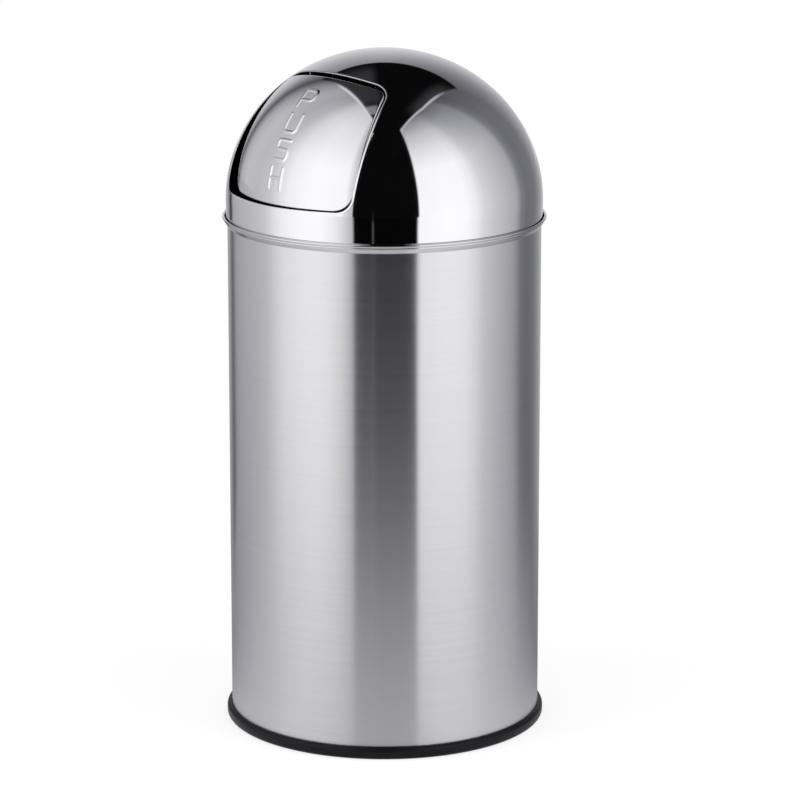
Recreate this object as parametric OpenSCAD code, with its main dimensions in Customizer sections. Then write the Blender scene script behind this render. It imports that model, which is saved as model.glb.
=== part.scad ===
// Dome top waste receptacle: a brushed tube on a plastic base ring, a lift-off polished
// dome with a sprung push flap, and a lift-out inner bucket with a wire bail.
// Frame: +Z up, origin on the floor under the centre of the base, flap towards -Y.

/* [Body] */
// Outer radius of the brushed tube
body_r = 150; // [135:1:165]
// Height of the brushed tube's upper edge above the floor
body_top = 488.6; // [400:1:600]
// Thickness of the body sheet
body_wall = 0.8; // [0.6:0.1:1.2]
// Outward step of the flared neck above the tube
neck_out = 2.4; // [2.2:0.1:3.2]
// Height of the flared neck
neck_rise = 3.3; // [3:0.1:5]
// Radius of the rolled rim on the neck
rim_r = 1.7; // [1.4:0.1:2.2]
// Height of the rolled rim's centre above the neck flare
rim_lift = 4; // [3.4:0.1:6]
// Radius of the tucked end of the rolled rim
curl_r = 0.9; // [0.6:0.1:1.2]

/* [Base] */
// How far the base ring stands out past the tube
ring_out = 4.8; // [3:0.1:8]
// Height of the base ring
ring_h = 12; // [10:0.5:20]
// Width of the ring's foot under the tube
foot_w = 10; // [8:0.5:20]
// Thickness of the ring's foot
foot_t = 3; // [2:0.5:5]
// Radius of the ring's outer edges
ring_edge_r = 4.2; // [2:0.1:4.6]
// Thickness of the ring's lip inside the tube
lip_t = 2.5; // [2:0.5:4]
// Height of that lip above the foot
lip_h = 3; // [2:0.5:6]
// Height of the floor plate above the ring's foot
plate_lift = 11; // [8:0.5:20]

/* [Dome] */
// Height of the dome above its straight skirt
dome_rise = 143.2; // [125:1:155]
// Height of the straight skirt
skirt_h = 20.2; // [16:0.5:40]
// Thickness of the dome sheet
dome_wall = 0.8; // [0.6:0.1:1.2]
// Play between the skirt and the neck around it
skirt_play = 0.3; // [0.3:0.05:0.5]
// Depth of the collar below the skirt, inside the neck
collar_depth = 17; // [10:1:25]
// Height of the collar inside the skirt
collar_up = 14; // [8:1:18]
// Thickness of the collar's wall
collar_wall = 1.6; // [1.2:0.1:2.5]
// Radial play between the collar and the tube
collar_play = 0.5; // [0.4:0.1:1]
// Height of the shoulder that steps the collar out to the skirt
collar_step = 1.5; // [1:0.1:3]

/* [Opening] */
// Tilt of the opening's axis above level, in degrees
open_tilt = 32; // [26:1:36]
// Top edge of the opening above the tilted axis
open_top = 71.5; // [66:0.5:76]
// Bottom edge of the opening below the tilted axis
open_low = 69; // [62:0.5:72]
// Half of the opening's greatest width
open_half = 85; // [76:0.5:88]
// How far below the axis the opening is widest
open_wide_at = 40; // [30:1:50]
// Radius of the arched sides
open_side_r = 335; // [300:5:400]
// Radius of the bowed bottom edge
open_bow_r = 255; // [240:5:400]
// Radius of the upper corners
open_corner_top = 21; // [16:1:26]
// Radius of the lower corners
open_corner_low = 18; // [14:1:26]
// Width of the hem folded back behind the opening's edge
hem_w = 3; // [2:0.5:4]

/* [Flap] */
// How deep the middle of the flap lies below the dome's surface
flap_recess = 3.6; // [2.6:0.1:4]
// How much larger the flap's radius of curvature is than the dome's
flap_flat = 2; // [1:0.5:4]
// How far up the slope the flap's centre lies, which leans its lower edge inwards
flap_lean = 7.5; // [6:0.5:9]
// Thickness of the flap sheet
flap_wall = 0.8; // [0.6:0.1:1.2]
// Depth of the flap's turned border
border_depth = 8; // [5:0.5:10]
// Gap beside the flap
gap_side = 2; // [1.5:0.5:5]
// Gap above the flap
gap_top = 5; // [3:0.5:6]
// Gap below the flap
gap_low = 2.7; // [1.5:0.1:5]
// Radius of the flap's upper corners
flap_corner_top = 11; // [9:1:16]
// Radius of the flap's lower corners
flap_corner_low = 26; // [20:1:30]

/* [Flap hinge] */
// Radius of the hinge rod
rod_r = 3; // [2.5:0.25:3.5]
// How far the rod stands out past each cheek
rod_end = 5.8; // [4:0.2:8]
// Depth of the rod below the flap's upper edge
rod_depth = 39.5; // [37:0.1:40]
// Drop of the rod below the opening's upper edge
rod_drop = 9; // [8:0.5:11]
// Distance of each hinge cheek outside its flap lug
cheek_gap = 8.6; // [8:0.2:10]
// Thickness of the hinge cheeks
cheek_t = 1.2; // [1:0.1:1.5]
// Width of the cheeks' welded flanges
flange_w = 12; // [8:1:14]
// Distance of each flap lug inside the opening's half width
lug_in = 43; // [38:0.5:48]
// Thickness of the flap lugs
lug_t = 1.5; // [1.2:0.1:2]
// How far the lugs reach down the flap, below the rod
lug_drop = 48; // [40:1:54]
// How far forwards of the rod the lugs meet that lower end
lug_arm = 60; // [52:1:62]
// Length of the lugs' tails behind the rod
tail_len = 15; // [13:0.5:15]
// Width of the lugs' welded feet
lug_foot_w = 9; // [6:0.5:12]
// Outer radius of the plastic bushes in the lugs
bush_r = 5; // [4.5:0.1:5.5]
// How far the bushes' collars stand out round them
bush_lip = 1.6; // [1:0.1:2]
// Running play of the bushes on the rod
rod_play = 0.06; // [0.03:0.01:0.1]
// Length of each torsion spring's coil
spring_len = 12; // [8:1:16]
// Wire radius of the springs
spring_wire_r = 0.8; // [0.6:0.1:1]
// Play between each spring's coil and the rod
coil_play = 0.5; // [0.3:0.1:0.8]
// Length of each spring's leg
spring_leg = 20; // [12:1:22]
// Radius of the rubber stops
stop_r = 3.7; // [3:0.1:4.5]
// Wall of the caps on the rod's ends
cap_wall = 2; // [1:0.2:3]

/* [Bucket] */
// Clearance between the bucket's wall and the tube, at the top
bucket_clear = 11.2; // [9:0.2:20]
// How much narrower the bucket is at its foot
bucket_taper = 10.5; // [0:0.5:20]
// Thickness of the bucket sheet
bucket_wall = 0.7; // [0.6:0.1:1]
// Drop of the bucket's rim below the tube's upper edge
bucket_drop = 26.6; // [24:0.2:60]
// Radius of the bucket's wired rim
bucket_rim_r = 2; // [1.5:0.1:3]
// Height of the bucket's base above its foot
base_lift = 6; // [4:0.5:12]
// How far each ear reaches below the bucket's rim
ear_drop = 24; // [20:1:30]
// Wire radius of the bail
bail_wire_r = 2; // [1.6:0.1:2.2]
// Play of the bail in its ears
bail_play = 0.08; // [0.03:0.01:0.1]
// Angle that each ear spans round the rim, in degrees
ear_span = 11; // [9:0.5:14]
// Thickness of the ears
ear_t = 1.5; // [1.2:0.1:2]
// Height of each ear above the bail's wire
ear_over = 3.5; // [3:0.5:6]
// Radius of the rivets
rivet_r = 1.6; // [1.2:0.1:2]
// Radius of the rivets' heads
rivet_head_r = 3; // [2.5:0.1:3.5]
// Height of the rivets' heads
rivet_head_h = 1.2; // [0.8:0.1:1.5]

/* [Hidden] */
$fn = 96;

rest_gap = 0.3;    // between pieces of different bodies that rest on each other
fit_gap = 0.03;    // between pieces of one body that are fixed together
rivet_seat = 0.2;  // under a flat rivet head on the ear's hollow face
arc_step = 2.25;   // degrees from one point of the dome's curve to the next
edge_steps = 8;    // steps in a small rounded edge
side = [-1, 1];    // left and right

// body and neck
body_in = body_r - body_wall;
neck_r = body_r + neck_out;
neck_z = body_top + neck_rise;
rim_z = neck_z + rim_lift;
rim_centre_r = neck_r - body_wall + rim_r;
curl_z = rim_z - rim_r - curl_r - 0.2;
plate_z = foot_t + plate_lift;

// dome
dome_r = neck_r - body_wall - skirt_play;
skirt_z = body_top + neck_rise * (dome_r - body_in) / neck_out + rest_gap;
dome_z = skirt_z + skirt_h;
collar_low_r = body_in - collar_play;

// opening and flap, in the plane across the tilted axis
side_x = open_half - open_side_r;
bow_z = open_bow_r - open_low;

// hinge, in the upright plane through the middle: u forwards, z up
flap_top = open_top - gap_top;
lug_x = open_half - lug_in;
cheek_x = lug_x + cheek_gap;
rod_half = cheek_x + cheek_t / 2 + rod_end;
rod_v = surface_v(flap_top - flap_lean, flap_recess - flap_flat) - flap_flat - rod_depth;
rod_w = open_top - rod_drop;
rod_u = rod_v * cos(open_tilt) - rod_w * sin(open_tilt);
rod_z = dome_z + rod_v * sin(open_tilt) + rod_w * cos(open_tilt);
tail_low = rod_z - 4;
stop_u = rod_u - 11;
stop_z = tail_low - rest_gap - stop_r;
cheek_back = rod_u - 18;
cheek_front = rod_u + 6;
cheek_low = stop_z - 7;

// bucket and bail
bucket_r = body_in - bucket_clear;
bucket_z = plate_z + body_wall + rest_gap;
bucket_rim_z = body_top - bucket_drop;
bucket_rim_c = bucket_r - bucket_wall + bucket_rim_r;
bail_z = bucket_rim_z + bucket_rim_r + bail_wire_r + rest_gap;
ear_low = bucket_rim_z - ear_drop;
ear_top = bail_z + bail_wire_r + ear_over;
rivet_z = ear_low + 3 * rivet_head_r;
hook_r = bail_wire_r - 0.1;
bail_c = bucket_at(ear_top) - bucket_wall - fit_gap + rest_gap + bail_wire_r;

// Distance along the tilted axis to the dome's surface, sunk by d, at height w in the middle plane
function surface_v(w, d) =
    let (a = dome_r - d, b = dome_rise - d, c = cos(open_tilt), s = sin(open_tilt),
         k2 = c * c / (a * a) + s * s / (b * b),
         k1 = 2 * w * c * s * (1 / (b * b) - 1 / (a * a)),
         k0 = w * w * (s * s / (a * a) + c * c / (b * b)) - 1)
    (-k1 + sqrt(k1 * k1 - 4 * k2 * k0)) / (2 * k2);

// Points of an arc about c, from angle a to angle b
function arc(c, r, a, b, n) = [for (i = [0:n]) let (t = a + (b - a) * i / n) c + r * [cos(t), sin(t)]];

// Half outline of the opening, drawn in by gs at the sides, gt at the top and gl at the bottom.
// Its corners have radius rt at the top and rl at the bottom.
function half_outline(gs, gt, gl, rt, rl) =
    let (side = open_side_r - gs, bow = open_bow_r - gl, side_w = -open_wide_at,
         wt = open_top - gt - rt, xt = side_x + sqrt(pow(side - rt, 2) - pow(wt - side_w, 2)),
         dx = -side_x, dw = bow_z - side_w, d = norm([dx, dw]), near = side - rl,
         a = (near * near - pow(bow - rl, 2) + d * d) / (2 * d), h = sqrt(near * near - a * a),
         xl = side_x + (a * dx + h * dw) / d, wl = side_w + (a * dw - h * dx) / d,
         high = atan2(wt - side_w, xt - side_x), low = atan2(wl - side_w, xl - side_x),
         bow_a = atan2(wl - bow_z, xl))
    concat(arc([xt, wt], rt, 90, high, 8), inner(arc([side_x, side_w], side, high, low, 10)),
           arc([xl, wl], rl, low, bow_a, 10), inner(arc([0, bow_z], bow, bow_a, -90, 8)), [[0, bow_z - bow]]);

// A list of points without its two ends
function inner(p) = [for (i = [1:len(p) - 2]) p[i]];

function outline(gs, gt, gl, rt, rl) =
    let (h = half_outline(gs, gt, gl, rt, rl))
    concat(h, [for (i = [len(h) - 2:-1:0]) [-h[i][0], h[i][1]]]);

// Profile of the dome's surface sunk by d, from the height low up to the apex
function dome_curve(d, low) =
    concat([[dome_r - d, low]],
           [for (t = [0:arc_step:90 - arc_step]) [(dome_r - d) * cos(t), dome_z + (dome_rise - d) * sin(t)]],
           [[0, dome_z + dome_rise - d]]);

function reversed(p) = [for (i = [len(p) - 1:-1:0]) p[i]];

// Radius of the bucket's outer wall at height z
function bucket_at(z) = bucket_r - bucket_taper * (bucket_rim_z - z) / (bucket_rim_z - bucket_z);

// Solid inside the dome's surface sunk by d
module dome_core(d) {
    rotate_extrude() polygon(concat([[0, skirt_z]], dome_curve(d, skirt_z)));
}

// Solid inside the flap's surface sunk by d: flatter than the dome, from a centre set back
module flap_core(d) {
    translate([0, flap_flat * cos(open_tilt) + flap_lean * sin(open_tilt),
               flap_lean * cos(open_tilt) - flap_flat * sin(open_tilt)])
        dome_core(flap_recess + d - flap_flat);
}

// Sheet that follows the dome, from depth d to depth d + t
module dome_sheet(d, t, low) {
    rotate_extrude() polygon(concat(dome_curve(d, low), reversed(dome_curve(d + t, low))));
}

// Bar of the given outline along the opening's tilted axis
module punch(points) {
    translate([0, 0, dome_z]) rotate([90 - open_tilt, 0, 0]) translate([0, 0, dome_r / 5])
        linear_extrude(height = dome_r) polygon(points);
}

// Plate across X at x, t thick, from a profile drawn with u forwards and z up
module plate_at(x, t) {
    translate([x, 0, 0]) rotate([90, 0, -90]) linear_extrude(height = t, center = true) children();
}

// Round bar along X from x0 to x1 at u forwards and z up
module bar_x(x0, x1, u, z, r) {
    translate([min(x0, x1), -u, z]) rotate([0, 90, 0]) cylinder(h = abs(x1 - x0), r = r);
}

module body_shell() {
    color("silver") rotate_extrude() union() {
        polygon([[body_in, foot_t], [body_r, foot_t], [body_r, body_top], [neck_r, neck_z],
                 [neck_r, rim_z], [neck_r - body_wall, rim_z], [neck_r - body_wall, neck_z],
                 [body_in, body_top]]);
        translate([rim_centre_r, rim_z]) circle(r = rim_r);
        translate([neck_r, curl_z]) circle(r = curl_r);
    }
}

module floor_plate() {
    plate_r = body_in - fit_gap;
    color("silver") rotate_extrude()
        polygon([[0, plate_z], [plate_r - body_wall, plate_z], [plate_r - body_wall, foot_t + lip_h],
                 [plate_r, foot_t + lip_h], [plate_r, plate_z + body_wall], [0, plate_z + body_wall]]);
}

module base_ring() {
    out = body_r + ring_out;
    lip = body_in - fit_gap;
    color([0.06, 0.06, 0.07]) rotate_extrude()
        polygon(concat([[body_in - foot_w, 0]],
                       arc([out - ring_edge_r, ring_edge_r], ring_edge_r, -90, 0, edge_steps),
                       arc([out - ring_edge_r, ring_h - ring_edge_r], ring_edge_r, 0, 90, edge_steps),
                       [[body_r + fit_gap, ring_h], [body_r + fit_gap, foot_t], [lip, foot_t],
                        [lip, foot_t + lip_h], [lip - lip_t, foot_t + lip_h], [lip - lip_t, foot_t],
                        [body_in - foot_w, foot_t]]));
}

module dome_shell() {
    color([0.82, 0.83, 0.85]) difference() {
        union() {
            dome_sheet(0, dome_wall, skirt_z);
            intersection() {
                dome_sheet(dome_wall, dome_wall, dome_z);
                punch(outline(-hem_w, -hem_w, -hem_w, open_corner_top + hem_w, open_corner_low + hem_w));
            }
        }
        punch(outline(0, 0, 0, open_corner_top, open_corner_low));
    }
}

module lid_collar() {
    up_r = dome_r - dome_wall - fit_gap;
    in_r = collar_low_r - collar_wall;
    color([0.1, 0.1, 0.11]) rotate_extrude()
        polygon([[in_r, skirt_z - collar_depth], [collar_low_r, skirt_z - collar_depth],
                 [collar_low_r, skirt_z], [up_r, skirt_z + collar_step], [up_r, skirt_z + collar_up],
                 [up_r - collar_wall, skirt_z + collar_up], [in_r, skirt_z + collar_step + rest_gap]]);
}

module hinge_cheek(s) {
    cut = cheek_t + 1;
    color("gainsboro") difference() {
        union() {
            intersection() {
                plate_at(s * cheek_x, cheek_t)
                    polygon([[cheek_back, cheek_low], [cheek_front - 3, cheek_low],
                             [cheek_front, cheek_low + 3], [cheek_front, dome_z + dome_rise],
                             [cheek_back, dome_z + dome_rise]]);
                dome_core(dome_wall + fit_gap);
            }
            intersection() {
                dome_sheet(dome_wall + fit_gap, cheek_t, dome_z);
                plate_at(s * (cheek_x + flange_w / 2), flange_w)
                    polygon([[cheek_back, rod_z], [cheek_front, rod_z],
                             [cheek_front, dome_z + dome_rise], [cheek_back, dome_z + dome_rise]]);
            }
        }
        bar_x(s * (cheek_x - cut), s * (cheek_x + cut), rod_u, rod_z, rod_r + fit_gap);
        bar_x(s * (cheek_x - cut), s * (cheek_x + cut), stop_u, stop_z, stop_r / 2 + fit_gap);
    }
}

module hinge_rod() {
    color("silver") bar_x(-rod_half, rod_half, rod_u, rod_z, rod_r);
}

module rod_cap(s) {
    x_in = cheek_x + cheek_t / 2 + fit_gap;
    color("dimgray") difference() {
        bar_x(s * x_in, s * (rod_half + cap_wall / 2), rod_u, rod_z, rod_r + cap_wall);
        bar_x(s * (x_in - 1), s * (rod_half + fit_gap), rod_u, rod_z, rod_r + fit_gap);
    }
}

module flap_stop(s) {
    x_in = cheek_x - cheek_t / 2 - fit_gap;
    color([0.12, 0.12, 0.12]) union() {
        bar_x(s * (lug_x - lug_t), s * x_in, stop_u, stop_z, stop_r);
        bar_x(s * (x_in - 1), s * (cheek_x + cheek_t * 2), stop_u, stop_z, stop_r / 2);
    }
}

// Sleeve that stands for the coil, with its leg towards the dome
module torsion_spring(s) {
    bore = rod_r + coil_play;
    coil_r = bore + 2 * spring_wire_r;
    x_in = lug_x - lug_t - spring_len;
    color("gray") union() {
        difference() {
            bar_x(s * x_in, s * (x_in + spring_len), rod_u, rod_z, coil_r);
            bar_x(s * (x_in - 1), s * (x_in + spring_len + 1), rod_u, rod_z, bore);
        }
        translate([s * (x_in + spring_wire_r), -(rod_u - coil_r + spring_wire_r), rod_z])
            cylinder(h = spring_leg, r = spring_wire_r - 0.1);
    }
}

module flap_panel() {
    color([0.84, 0.85, 0.87]) difference() {
        intersection() {
            punch(outline(gap_side, gap_top, gap_low, flap_corner_top, flap_corner_low));
            flap_core(0);
        }
        intersection() {
            punch(outline(gap_side + flap_wall, gap_top + flap_wall, gap_low + flap_wall,
                          flap_corner_top - flap_wall, flap_corner_low - flap_wall));
            flap_core(flap_wall);
        }
        flap_core(border_depth);
    }
}

module flap_lug(s) {
    sunk = flap_wall + fit_gap;
    far = dome_r;
    foot_low = rod_z - lug_drop;
    foot_u = rod_u + lug_arm / 2;
    top = rod_z + bush_r * 2;
    color("gainsboro") difference() {
        intersection() {
            union() {
                plate_at(s * lug_x, lug_t)
                    polygon([[rod_u - tail_len, tail_low], [rod_u - tail_len, rod_z + bush_r / 2],
                             [rod_u - bush_r * 1.4, rod_z + bush_r * 1.6],
                             [rod_u + bush_r, rod_z + bush_r * 1.8], [rod_u + bush_r * 3, top],
                             [far, top], [far, foot_low], [rod_u + lug_arm, foot_low],
                             [rod_u + bush_r * 1.8, rod_z - bush_r * 1.8],
                             [rod_u + bush_r * 0.6, rod_z - bush_r * 1.6],
                             [rod_u - bush_r * 0.6, rod_z - bush_r * 1.5],
                             [rod_u - bush_r * 1.2, tail_low]]);
                difference() {
                    plate_at(s * (lug_x - lug_foot_w / 2), lug_foot_w)
                        polygon([[foot_u, top - 1], [far, top - 1], [far, foot_low + 1],
                                 [foot_u, foot_low + 1]]);
                    flap_core(sunk + lug_t);
                }
            }
            flap_core(sunk);
        }
        bar_x(s * (lug_x - lug_t), s * (lug_x + lug_t), rod_u, rod_z, bush_r + fit_gap);
    }
}

module flap_bush(s) {
    x_in = lug_x - lug_t / 2 - bush_lip / 3;
    x_out = cheek_x - cheek_t / 2 - rest_gap;
    color("ivory") difference() {
        union() {
            bar_x(s * x_in, s * x_out, rod_u, rod_z, bush_r);
            bar_x(s * (lug_x + lug_t / 2 + fit_gap), s * x_out, rod_u, rod_z, bush_r + bush_lip);
        }
        bar_x(s * (x_in - 1), s * (x_out + 1), rod_u, rod_z, rod_r + rod_play);
    }
}

module bucket_shell() {
    low = bucket_at(bucket_z);
    color("lightslategray") rotate_extrude() union() {
        polygon([[low - bucket_wall, bucket_z], [low, bucket_z], [bucket_r, bucket_rim_z],
                 [bucket_r - bucket_wall, bucket_rim_z]]);
        translate([bucket_rim_c, bucket_rim_z]) circle(r = bucket_rim_r);
    }
}

module bucket_base() {
    z = bucket_z + base_lift;
    edge = bucket_wall + fit_gap;
    low_r = bucket_at(bucket_z) - edge;
    top_r = bucket_at(z + bucket_wall) - edge;
    color("lightslategray") rotate_extrude()
        polygon([[0, z], [top_r - bucket_wall, z], [low_r - bucket_wall, bucket_z],
                 [low_r, bucket_z], [top_r, z + bucket_wall], [0, z + bucket_wall]]);
}

module bail_ear(s) {
    edge = bucket_wall + fit_gap;
    in_low = bucket_at(ear_low) - edge;
    in_top = bucket_at(ear_top) - edge;
    color("silver") difference() {
        rotate([0, 0, (s > 0 ? 0 : 180) - ear_span / 2]) rotate_extrude(angle = ear_span)
            polygon([[in_low - ear_t, ear_low], [in_low, ear_low], [in_top, ear_top],
                     [in_top - ear_t, ear_top]]);
        bar_x(s * (in_low - ear_t * 2), s * (in_top + ear_t), 0, bail_z, hook_r + bail_play);
        for (a = side) rotate([0, 0, a * ear_span / 4])
            bar_x(s * (in_low - ear_t * 2), s * (in_top + ear_t), 0, rivet_z, rivet_r + fit_gap);
    }
}

// Rivets through the ears and the bucket's wall: two to each ear
module ear_rivets() {
    r_in = bucket_at(rivet_z) - bucket_wall - ear_t;
    color("silver") for (s = side, a = side) rotate([0, 0, a * ear_span / 4])
        union() {
            bar_x(s * (r_in - rivet_head_h), s * (r_in - rivet_seat), 0, rivet_z, rivet_head_r);
            bar_x(s * (r_in - rivet_head_h / 2), s * (r_in + ear_t - fit_gap), 0, rivet_z, rivet_r);
        }
}

module bail_handle() {
    tip = bucket_at(bail_z) - bucket_wall - ear_t - bail_wire_r * 1.6;
    color("silver") union() {
        translate([0, 0, bail_z]) rotate_extrude(angle = 180)
            translate([bail_c, 0]) circle(r = bail_wire_r, $fn = 32);
        for (s = side) {
            bar_x(s * tip, s * (bail_c + hook_r / 2), 0, bail_z, hook_r);
            bar_x(s * (tip - bail_wire_r), s * (tip + 0.1), 0, bail_z, bail_wire_r * 1.75);
        }
    }
}

body_shell();
floor_plate();
base_ring();
dome_shell();
lid_collar();
hinge_cheek(-1);  // hinge_cheek_left
hinge_cheek(1);  // hinge_cheek_right
hinge_rod();
rod_cap(-1);  // rod_cap_left
rod_cap(1);  // rod_cap_right
flap_stop(-1);  // flap_stop_left
flap_stop(1);  // flap_stop_right
torsion_spring(-1);  // spring_left
torsion_spring(1);  // spring_right
flap_panel();
flap_lug(-1);  // flap_lug_left
flap_lug(1);  // flap_lug_right
flap_bush(-1);  // flap_bush_left
flap_bush(1);  // flap_bush_right
bucket_shell();
bucket_base();
bail_ear(-1);  // bail_ear_left
bail_ear(1);  // bail_ear_right
ear_rivets();
bail_handle();
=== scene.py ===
# %% [markdown]
# # A dome top waste bin
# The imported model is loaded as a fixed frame. Its nodes say where every piece is and what it moves with.
# This lesson dresses them: finer meshes, real finishes, and a small studio whose reflections make the
# polished dome.

import math

import bmesh
import bpy
import numpy as np
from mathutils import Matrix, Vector


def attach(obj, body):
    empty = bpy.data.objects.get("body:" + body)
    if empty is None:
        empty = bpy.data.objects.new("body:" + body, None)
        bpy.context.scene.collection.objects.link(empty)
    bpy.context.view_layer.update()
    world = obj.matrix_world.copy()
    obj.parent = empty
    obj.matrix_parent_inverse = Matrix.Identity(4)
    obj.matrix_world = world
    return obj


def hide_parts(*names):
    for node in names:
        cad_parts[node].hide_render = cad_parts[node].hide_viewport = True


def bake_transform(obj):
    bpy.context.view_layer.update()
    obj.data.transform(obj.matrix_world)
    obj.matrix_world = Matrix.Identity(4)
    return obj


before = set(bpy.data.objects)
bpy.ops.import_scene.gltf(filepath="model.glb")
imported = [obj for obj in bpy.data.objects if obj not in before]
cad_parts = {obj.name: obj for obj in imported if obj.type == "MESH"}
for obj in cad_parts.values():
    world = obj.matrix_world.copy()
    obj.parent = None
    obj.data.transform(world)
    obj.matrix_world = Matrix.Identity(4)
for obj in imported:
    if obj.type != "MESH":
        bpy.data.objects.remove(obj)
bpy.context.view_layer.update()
MM = 0.001

# %% [markdown]
# ## The sizes
# The CAD source can't be read here, so the sizes that the new pieces share with it are written once more,
# in millimetres. Only the rim's bead differs: it is thinner here, as the photograph's is. The opening and
# the flap are drawn in a plane across a tilted axis: x runs along the world's X, w runs up the slope, and v
# points out through the flap.

# %% Sizes shared with the CAD source
BODY_R, BODY_TOP, WALL = 150.0, 488.6, 0.8
NECK_R, NECK_Z = 152.4, 491.9
RIM_R, RIM_C, RIM_Z = 1.2, 153.72, 495.8
CURL_R, CURL_Z = 0.9, 493.1
FOOT_T, RING_H, RING_R, RING_IN = 3.0, 12.0, 154.8, 139.2
DOME_R, DOME_RISE, DOME_Z, SKIRT_Z = 151.3, 143.2, 511.9875, 491.7875
TILT = math.radians(32)
OPEN_TOP, OPEN_LOW, OPEN_HALF, OPEN_WIDE_AT = 71.5, 69.0, 85.0, 40.0
OPEN_SIDE_R, OPEN_BOW_R, CORNER_TOP, CORNER_LOW = 335.0, 255.0, 21.0, 18.0
GAP_SIDE, GAP_TOP, GAP_LOW, FLAP_CORNER_TOP, FLAP_CORNER_LOW = 2.0, 5.0, 2.7, 11.0, 26.0
FLAP_RECESS, FLAP_FLAT, FLAP_LEAN, FLAP_WALL, BORDER = 3.6, 2.0, 7.5, 0.8, 8.0
ROD_U, ROD_Z = 43.05, 612.59
BUCKET_Z, BUCKET_RIM_Z, BUCKET_R, BUCKET_LOW = 15.1, 462.0, 138.0, 127.5
BUCKET_WALL, BUCKET_RIM_R, BAIL_Z, BAIL_R, BAIL_WIRE = 0.7, 2.0, 466.3, 139.76, 2.0
PLATE_Z, LIP_TOP, EAR_T, FIT = 14.0, 6.0, 1.5, 0.03
AXIS_V = np.array([0, -math.cos(TILT), math.sin(TILT)])
AXIS_W = np.array([0, math.sin(TILT), math.cos(TILT)])
SPRING_OF_DOME = np.array([0, 0, DOME_Z])
print("dome apex", DOME_Z + DOME_RISE)

# %% [markdown]
# ## The camera
# A camera far away with a long lens sees the bin as the photograph does. It stands 46.5 degrees round from
# the flap's front and looks 13.7 degrees down.

# %% Camera
CAMERA_AZ, LOOK_DOWN, LOOK_ASIDE = math.radians(46.5), 13.669, 0.235
CAMERA_FAR, CAMERA_HIGH = 3.627, 1.1957
camera_data = bpy.data.cameras.new("photo_camera")
camera = bpy.data.objects.new("photo_camera", camera_data)
bpy.context.scene.collection.objects.link(camera)
camera_data.sensor_width, camera_data.lens = 36.0, 173.8
camera_data.clip_end = 60.0
camera.location = (CAMERA_FAR * math.sin(CAMERA_AZ), -CAMERA_FAR * math.cos(CAMERA_AZ), CAMERA_HIGH)
camera.rotation_euler = (math.radians(90 - LOOK_DOWN), 0, CAMERA_AZ - math.radians(LOOK_ASIDE))
bpy.context.scene.camera = camera
bpy.context.scene.view_settings.view_transform = "Standard"
print("camera", tuple(round(v, 3) for v in camera.location))

# %% [markdown]
# ## Shader sums
# A finish is mostly sums on sockets. This small class lets them be written as ordinary Python: each
# operator adds the Math node it stands for.


# %% A socket that can be used in sums
class Sum:
    """One output socket of a node. Inputs are given by name, or as i0, i1 and so on by number."""

    def __init__(self, tree, socket):
        self.tree, self.socket = tree, socket

    def node(self, kind, settings=None, out=0, **inputs):
        made = self.tree.nodes.new("ShaderNode" + kind)
        for key, value in (settings or {}).items():
            setattr(made, key, value)
        for key, value in inputs.items():
            numbered = key[0] == "i" and key[1:].isdigit()
            target = made.inputs[int(key[1:]) if numbered else key.replace("_", " ")]
            if isinstance(value, Sum):
                self.tree.links.new(value.socket, target)
            else:
                target.default_value = value
        return Sum(self.tree, made.outputs[out])

    def math(self, operation, a, b=0.0):
        return self.node("Math", {"operation": operation}, i0=a, i1=b)

    def __add__(self, b):
        return self.math("ADD", self, b)

    def __radd__(self, a):
        return self.math("ADD", a, self)

    def __sub__(self, b):
        return self.math("SUBTRACT", self, b)

    def __rsub__(self, a):
        return self.math("SUBTRACT", a, self)

    def __mul__(self, b):
        return self.math("MULTIPLY", self, b)

    def __rmul__(self, a):
        return self.math("MULTIPLY", a, self)

    def __truediv__(self, b):
        return self.math("DIVIDE", self, b)

    def __abs__(self):
        return self.math("ABSOLUTE", self)

    def least(self, b):
        return self.math("MINIMUM", self, b)

    def most(self, b):
        return self.math("MAXIMUM", self, b)

    def ramp(self, low, high, to_low=0.0, to_high=1.0):
        """Goes smoothly from to_low to_high as the value goes from low to high."""
        settings = {"interpolation_type": "SMOOTHSTEP"}
        return self.node("MapRange", settings, i0=self, i1=low, i2=high, i3=to_low, i4=to_high)

    def mix(self, a, b):
        """Colour a where this is 0, colour b where it is 1."""
        return self.node("Mix", {"data_type": "RGBA"}, out=2, i0=self, i6=a, i7=b)


print("sums ready")


# %% [markdown]
# Every finish starts the same way: a Principled shader, and the Object coordinates that its pattern reads.


# %% A new finish
def finish(name, **values):
    """The frame's material of that name with a new shader, and the first Sum to build on."""
    made = bpy.data.materials.get(name) or bpy.data.materials.new(name)
    made.use_nodes = True
    tree = made.node_tree
    tree.nodes.clear()
    shader = tree.nodes.new("ShaderNodeBsdfPrincipled")
    tree.links.new(shader.outputs[0], tree.nodes.new("ShaderNodeOutputMaterial").inputs["Surface"])
    for key, value in values.items():
        shader.inputs[key.replace("_", " ")].default_value = value
    place = Sum(tree, None).node("TexCoord", out=3)
    return made, shader, place


def feed(shader, key, value):
    """Links a varying value to one socket of the shader."""
    value.tree.links.new(value.socket, shader.inputs[key])


def stretched(place, sx, sy, sz, detail=2.0, seed=0.0):
    """Noise on Object coordinates, finer along the axes with the larger numbers."""
    spot = place.node("Mapping", Vector=place, Scale=(sx, sy, sz), Location=(seed, seed, seed))
    return place.node("TexNoise", Vector=spot, Scale=1.0, Detail=detail)


print("finish helpers ready")


# %% [markdown]
# ## Brushed tube
# The tube was brushed on a lathe, so its scratches run round it. They blur a reflection up and down but
# hardly sideways, which is what an anisotropic gloss does. Noise that is very fine along Z draws the
# scratches.

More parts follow.
